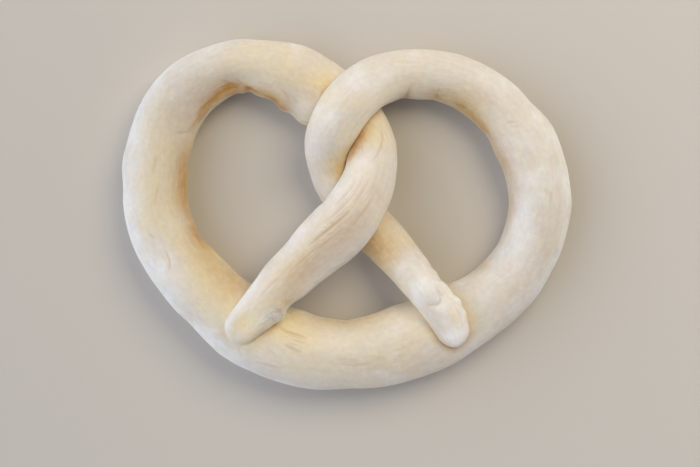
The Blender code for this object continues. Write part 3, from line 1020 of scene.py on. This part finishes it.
def skin_patterns(tree):
    """The skin's noise patterns by name. The streaks run along the rope, and mixed is them and mottle."""
    here = add_node(tree, "ShaderNodeTexCoord").outputs["Object"]
    pattern = {}
    for name, (size, detail) in PATTERNS.items():
        links = {"Vector": here, "Scale": 1 / size, "Detail": detail}
        pattern[name] = add_node(tree, "ShaderNodeTexNoise", links)
    rope_map = add_node(tree, "ShaderNodeUVMap", uv_map="rope")
    links = {0: rope_map, 1: (1 / STREAK_LENGTH, 1 / STREAK_WIDTH, 1.0)}
    streaked = add_node(tree, "ShaderNodeVectorMath", links, operation="MULTIPLY")
    links = {"Vector": streaked, "Scale": 1.0, "Detail": 3.0}
    pattern["streaks"] = add_node(tree, "ShaderNodeTexNoise", links)
    links = {0: pattern["mottle"], 1: pattern["streaks"]}
    pattern["mixed"] = add_node(tree, "ShaderNodeMath", links, operation="ADD")
    return pattern


def floured_colour(tree, shape, mark, pattern):
    """The flour's share, and the skin's colour, mottled and with painted light and shade, before the painted
    warm shade.
    """
    links = {"Value": pattern["warmth"], "From Min": 0.4, "From Max": 0.7, "To Max": 0.6}
    warm = add_node(tree, "ShaderNodeMapRange", links, interpolation_type="SMOOTHSTEP")
    warmer = add_node(tree, "ShaderNodeMath", {0: warm, 1: mark["tint"]}, operation="ADD", use_clamp=True)
    paler = pattern["flouring"]
    for name, strength in (("tint", -0.35), ("crumbly", 0.3)):
        links = {0: mark[name], 1: strength, 2: paler}
        paler = add_node(tree, "ShaderNodeMath", links, operation="MULTIPLY_ADD")
    links = {"Value": paler, "From Min": 0.5, "From Max": 0.9, "To Max": 0.8}
    flour = add_node(tree, "ShaderNodeMapRange", links, interpolation_type="SMOOTHSTEP")
    colour = tuple(shape.dough)
    for share, tone in ((warmer, shape.warm_dough), (flour, shape.flour)):
        links = {0: share, 6: colour, 7: tuple(tone)}
        colour = add_node(tree, "ShaderNodeMix", links, data_type="RGBA").outputs[2]
    links = {"Value": pattern["mixed"], "From Min": 0.65, "From Max": 1.35}
    links |= {"To Min": 0.94, "To Max": 1.055}
    shade = add_node(tree, "ShaderNodeMapRange", links)
    # Painted light and shade: its patches darken or lighten the colour.
    shade = add_node(tree, "ShaderNodeMath", {0: shade, 1: mark["dull"]}, operation="SUBTRACT")
    return flour, add_node(tree, "ShaderNodeVectorMath", {0: colour, "Scale": shade}, operation="SCALE")


def painted_shade_shares(tree, mark, pattern):
    """Shares of painted warm shade, in hollows and beside folds, crumbs and strands, and of painted dark
    shade in creases.
    """
    line = {}
    for name, (away, strength, reach, top) in LINES.items():
        near = add_node(tree, "ShaderNodeMath", {0: mark[away]}, operation="ABSOLUTE")
        links = {"Value": near, "From Min": 0.0, "From Max": reach, "To Min": top, "To Max": 0.0}
        share = add_node(tree, "ShaderNodeMapRange", links, interpolation_type="SMOOTHSTEP")
        line[name] = add_node(tree, "ShaderNodeMath", {0: share, 1: mark[strength]}, operation="MULTIPLY")

    # The painted shade beside touching strands is kept where it isn't faded out.
    links = {0: 1.0, 1: mark["blended"]}
    apart = add_node(tree, "ShaderNodeMath", links, operation="SUBTRACT", use_clamp=True)
    contact = add_node(tree, "ShaderNodeMath", {0: mark["contact"], 1: apart}, operation="MULTIPLY")
    # Painted warm shade beside touching strands.
    tan = add_node(tree, "ShaderNodeMath", {0: contact, 1: 1.6}, operation="POWER")
    tan = add_node(tree, "ShaderNodeMath", {0: tan, 1: 0.8}, operation="MULTIPLY")
    links = {"Value": pattern["mixed"], "From Min": 0.65, "From Max": 1.35, "To Min": 1.2, "To Max": 0.8}
    uneven = add_node(tree, "ShaderNodeMapRange", links)
    # Painted warm shade in patches, made uneven by the mottle.
    stain = add_node(tree, "ShaderNodeMath", {0: mark["stain"], 1: uneven}, operation="MULTIPLY")
    # Painted shade between the crumbs where the skin is torn.
    links = {"Value": pattern["crumbs"], "From Min": 0.5, "From Max": 0.38, "To Max": 0.35}
    between = add_node(tree, "ShaderNodeMapRange", links, interpolation_type="SMOOTHSTEP")
    torn = add_node(tree, "ShaderNodeMath", {0: between, 1: mark["crumbly"]}, operation="MULTIPLY")
    layers = (("MAXIMUM", stain), ("ADD", line["painted_crease_halo"]), ("ADD", line["stretch"]), ("MAXIMUM", torn))
    for operation, share in layers:
        tan = add_node(tree, "ShaderNodeMath", {0: tan, 1: share}, operation=operation, use_clamp=True)

    links = {"Value": pattern["mottle"], "From Min": 0.35, "From Max": 0.6, "To Min": 0.3, "To Max": 0.9}
    broken = add_node(tree, "ShaderNodeMapRange", links)
    creased = add_node(tree, "ShaderNodeMath", {0: line["crease"], 1: broken}, operation="MULTIPLY")
    # A painted dark line where strands touch.
    painted_crease_shade = add_node(tree, "ShaderNodeMath", {0: contact, 1: 14.0}, operation="POWER")
    return tan, add_node(tree, "ShaderNodeMath", {0: painted_crease_shade, 1: creased}, operation="MAXIMUM")


def fine_bump(tree, mark, pattern):
    """The relief that is too fine for the mesh: grain, dimples, streaks, and crumbs where it is torn."""
    torn = add_node(tree, "ShaderNodeMath", {0: pattern["crumbs"], 1: mark["crumbly"]}, operation="MULTIPLY")
    relief = pattern["grain"]
    for height, strength in ((pattern["dimples"], 2.4), (pattern["streaks"], 0.5), (torn, 6.0)):
        links = {0: height, 1: strength, 2: relief}
        relief = add_node(tree, "ShaderNodeMath", links, operation="MULTIPLY_ADD")
    return add_node(tree, "ShaderNodeBump", {"Height": relief, "Strength": 0.8, "Distance": BUMP_HEIGHT})


def soft_room(settings):
    """Cool daylight from the whole left side, and a fill of it that comes in low from the right."""
    world = bpy.data.worlds.new("soft room")
    world.use_nodes = True
    tree = world.node_tree
    tree.nodes.clear()
    way = add_node(tree, "ShaderNodeTexCoord").outputs["Generated"]
    parts = add_node(tree, "ShaderNodeSeparateXYZ", {0: way}).outputs
    left = add_node(tree, "ShaderNodeMath", {0: parts["X"], 1: -1.0}, operation="MULTIPLY", use_clamp=True)
    right = add_node(tree, "ShaderNodeMath", {0: parts["X"], 1: 0.0}, operation="MAXIMUM")
    links = {0: 1.0, 1: parts["Z"]}
    level = add_node(tree, "ShaderNodeMath", links, operation="SUBTRACT", use_clamp=True)
    low = add_node(tree, "ShaderNodeMath", {0: level, 1: 3.0}, operation="POWER")
    fill = add_node(tree, "ShaderNodeMath", {0: right, 1: low}, operation="MULTIPLY")
    fill = add_node(tree, "ShaderNodeMath", {0: fill, 1: settings.fill_strength}, operation="MULTIPLY")
    links = {0: left, 1: settings.window_strength, 2: fill}
    strength = add_node(tree, "ShaderNodeMath", links, operation="MULTIPLY_ADD")
    strength = add_node(tree, "ShaderNodeMath", {0: strength, 1: settings.room_strength}, operation="ADD")
    links = {"Color": tuple(settings.daylight_colour), "Strength": strength}
    light = add_node(tree, "ShaderNodeBackground", links)
    add_node(tree, "ShaderNodeOutputWorld", {"Surface": light})
    return world


def worktop(settings):
    """A plain square of worktop, far wider than the view. It isn't part of the object."""
    material = bpy.data.materials.new("plain worktop")
    material.use_nodes = True
    shader = material.node_tree.nodes["Principled BSDF"]
    shader.inputs["Base Color"].default_value = tuple(settings.floor_colour)
    shader.inputs["Roughness"].default_value = 0.7
    half = WORKTOP_SIZE / 2
    corners = [(-half, -half, 0.0), (half, -half, 0.0), (half, half, 0.0), (-half, half, 0.0)]
    mesh = bpy.data.meshes.new("worktop")
    mesh.from_pydata(corners, [], [(0, 1, 2, 3)])
    mesh.materials.append(material)
    return bpy.data.objects.new("worktop", mesh)


def lamp_behind(settings):
    """A large round lamp behind the pretzel, on the right, a little warmer than the daylight."""
    light = bpy.data.lights.new("lamp behind", "AREA")
    light.shape = "DISK"
    light.size = LAMP_SIZE
    light.energy = settings.lamp_power
    light.color = tuple(settings.lamp_colour)[:3]
    lamp = bpy.data.objects.new("lamp behind", light)
    lamp.location = LAMP_PLACE
    lamp.rotation_euler = (-lamp.location).to_track_quat("-Z", "Y").to_euler()
    return lamp


def camera_above():
    """A camera that looks straight down on the pretzel."""
    camera = bpy.data.cameras.new("above")
    camera.sensor_width = SENSOR_WIDTH
    camera.lens = SENSOR_WIDTH * CAMERA_HEIGHT / VIEW_WIDTH
    camera.clip_start = CLIP_START
    eye = bpy.data.objects.new("above", camera)
    eye.location = (*CAMERA_MIDDLE, CAMERA_HEIGHT)
    return eye


def length_setting(name, description, millimetres):
    """A length that a user can change. Its default is given in millimetres."""
    return FloatProperty(name=name, description=description, default=millimetres * MM, unit="LENGTH")


def colour_setting(name, description, hex_colour):
    """A colour that a user can change. Its default is given as #rrggbb."""
    default = linear(hex_colour)
    return FloatVectorProperty(name=name, description=description, subtype="COLOR", size=4, default=default)


class DoughShape(bpy.types.PropertyGroup):
    """Sizes and colours of the rope of dough."""

    unevenness: length_setting("Unevenness", "How far the rope's surface wanders in and out", 0.28)
    unevenness_size: length_setting("Unevenness size", "How far apart the rope's swellings are", 11)
    line_depth: length_setting(
        "Line depth", "Depth of the fine lines where rolling stretched the skin", 0.05
    )
    line_spacing: length_setting("Line spacing", "Distance between those lines, round the rope", 2.4)
    line_length: length_setting("Line length", "Length of those lines, along the rope", 22)
    ripple_depth: length_setting("Ripple depth", "Depth of the dents that fingers left all over", 0.13)
    ripple_size: length_setting("Ripple size", "Distance between those dents", 5)
    grain_depth: length_setting("Grain depth", "Depth of the skin's fine waves", 0.05)
    grain_size: length_setting("Grain size", "Distance between the skin's fine waves", 2.2)
    crumb_depth: length_setting("Crumb depth", "How rough the skin is where it is torn and crumbly", 0.45)
    crumb_size: length_setting("Crumb size", "Distance between the crumbs there", 1.5)
    # The painted shade beside touching strands reaches this far.
    contact_reach: length_setting(
        "Contact reach", "How far the darker skin reaches from where strands touch", 3.2
    )
    seed: IntProperty(name="Seed", description="Changes where the fine relief falls", default=4)
    dough: colour_setting("Dough", "Colour of most of the skin", "#e2d7c7")
    warm_dough: colour_setting("Warm dough", "Colour of the skin where it is yellower", "#e9d8b1")
    flour: colour_setting("Flour", "Colour of the skin where flour lies on it", "#ede9e2")
    # The colour of the painted warm shade, in hollows and beside folds and touching strands.
    tan: colour_setting("Tan", "Colour of the skin where it is moist, beside folds and strands", "#c6954f")
    # The colour of the painted dark shade at the bottom of creases and where strands touch.
    painted_crease_tone: colour_setting("Fold", "Colour at the bottom of folds and where strands touch", "#7c521c")


class StageSettings(bpy.types.PropertyGroup):
    """The worktop and the lights."""

    floor_colour: colour_setting("Worktop", "Colour of the plain worktop", "#cdc5ba")
    daylight_colour: colour_setting("Daylight", "Colour of the daylight", "#e4edff")
    lamp_colour: colour_setting("Lamp colour", "Colour of the large soft lamp", "#fff3d8")
    lamp_power: FloatProperty(
        name="Lamp",
        description="Power of the large soft lamp behind, on the right",
        default=5.6,
        unit="POWER",
    )
    window_strength: FloatProperty(
        name="Window light",
        description="Strength of the daylight that comes from the whole left side",
        default=2.45,
    )
    fill_strength: FloatProperty(
        name="Fill light",
        description="Strength of the daylight that comes in low from the right",
        default=3.2,
    )
    room_strength: FloatProperty(
        name="Room light",
        description="Strength of the daylight that comes from everywhere",
        default=0.05,
    )


class PRETZEL_OT_rope(bpy.types.Operator):
    """Lay the rope of raw dough in the shape of a pretzel"""

    bl_idname = "pretzel.rope"
    bl_label = "Lay the rope of dough"
    bl_options = {"REGISTER", "UNDO"}

    def execute(self, context):
        shape = context.scene.pretzel_dough
        route, length = rope_route()
        places = ring_places(length)
        guide = route_object(route, length, places)
        dough = skin_object(route, length, places)
        tree = rope_tree()
        modifier = dough.modifiers.new("Rope of dough", "NODES")
        modifier.node_group = tree
        values = {name: getattr(shape, name.lower().replace(" ", "_")) for name in SIZE_INPUTS}
        values |= {
            "Route": guide,
            "Section power": SECTION_POWER,
            "Melted place": tuple(route([MELTED_PLACE])[0, :3] * MM),
            "Melted reach": MELTED_REACH,
            "Seed": shape.seed,
            "Dough": raw_dough(shape),
        }
        sockets = {item.name: item.identifier for item in tree.interface.items_tree if item.in_out == "INPUT"}
        for name, value in values.items():
            modifier[sockets[name]] = value
        depsgraph = context.evaluated_depsgraph_get()
        mesh = bpy.data.meshes.new_from_object(dough.evaluated_get(depsgraph))
        dough.modifiers.clear()
        dough.data = mesh
        bpy.data.objects.remove(guide)
        if not mesh.polygons:
            raise RuntimeError("the strands of dough were not fused")
        centre_on_solid(mesh)
        mesh.name = "dough_rope"
        dough.name = "dough_rope"
        mesh.set_sharp_from_angle(angle=SHARP_ANGLE)
        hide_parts("dough")
        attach(dough, "root")
        return {"FINISHED"}


def centre_on_solid(mesh):
    """Moves the mesh so that its outline has the same middle as the solid that it stands for."""
    corners = np.zeros(3 * len(mesh.vertices), np.float32)
    mesh.vertices.foreach_get("co", corners)
    corners = corners.reshape(-1, 3)
    low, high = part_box("dough")
    own_middle = (corners.min(axis=0) + corners.max(axis=0)) / 2
    for axis in (0, 1):
        corners[:, axis] += (low[axis] + high[axis]) / 2 - own_middle[axis]
    mesh.vertices.foreach_set("co", corners.ravel())
    mesh.update()


class PRETZEL_OT_stage(bpy.types.Operator):
    """Set the plain worktop, the soft lights and the camera straight above"""

    bl_idname = "pretzel.stage"
    bl_label = "Set the stage"
    bl_options = {"REGISTER", "UNDO"}

    def execute(self, context):
        scene = context.scene
        settings = scene.pretzel_stage
        floor = worktop(settings)
        lamp = lamp_behind(settings)
        eye = camera_above()
        for thing in (floor, lamp, eye):
            scene.collection.objects.link(thing)
        scene.camera = eye
        scene.world = soft_room(settings)
        scene.view_settings.view_transform = "Standard"
        return {"FINISHED"}


class PRETZEL_PT_panel(bpy.types.Panel):
    """The pretzel's settings and the two steps that make it"""

    bl_idname = "PRETZEL_PT_panel"
    bl_label = "Raw dough pretzel"
    bl_space_type = "VIEW_3D"
    bl_region_type = "UI"
    bl_category = "Pretzel"

    def draw(self, context):
        for settings in (context.scene.pretzel_dough, context.scene.pretzel_stage):
            box = self.layout.box()
            for name in settings.__annotations__:
                box.prop(settings, name)
        for operator in (PRETZEL_OT_rope, PRETZEL_OT_stage):
            self.layout.operator(operator.bl_idname)


CLASSES = (DoughShape, StageSettings, PRETZEL_OT_rope, PRETZEL_OT_stage, PRETZEL_PT_panel)


def register():
    for cls in CLASSES:
        bpy.utils.register_class(cls)
    bpy.types.Scene.pretzel_dough = PointerProperty(type=DoughShape)
    bpy.types.Scene.pretzel_stage = PointerProperty(type=StageSettings)


def unregister():
    del bpy.types.Scene.pretzel_dough
    del bpy.types.Scene.pretzel_stage
    for cls in reversed(CLASSES):
        bpy.utils.unregister_class(cls)


def main():
    register()
    bpy.ops.pretzel.rope()
    bpy.ops.pretzel.stage()


if __name__ == "__main__":
    main()
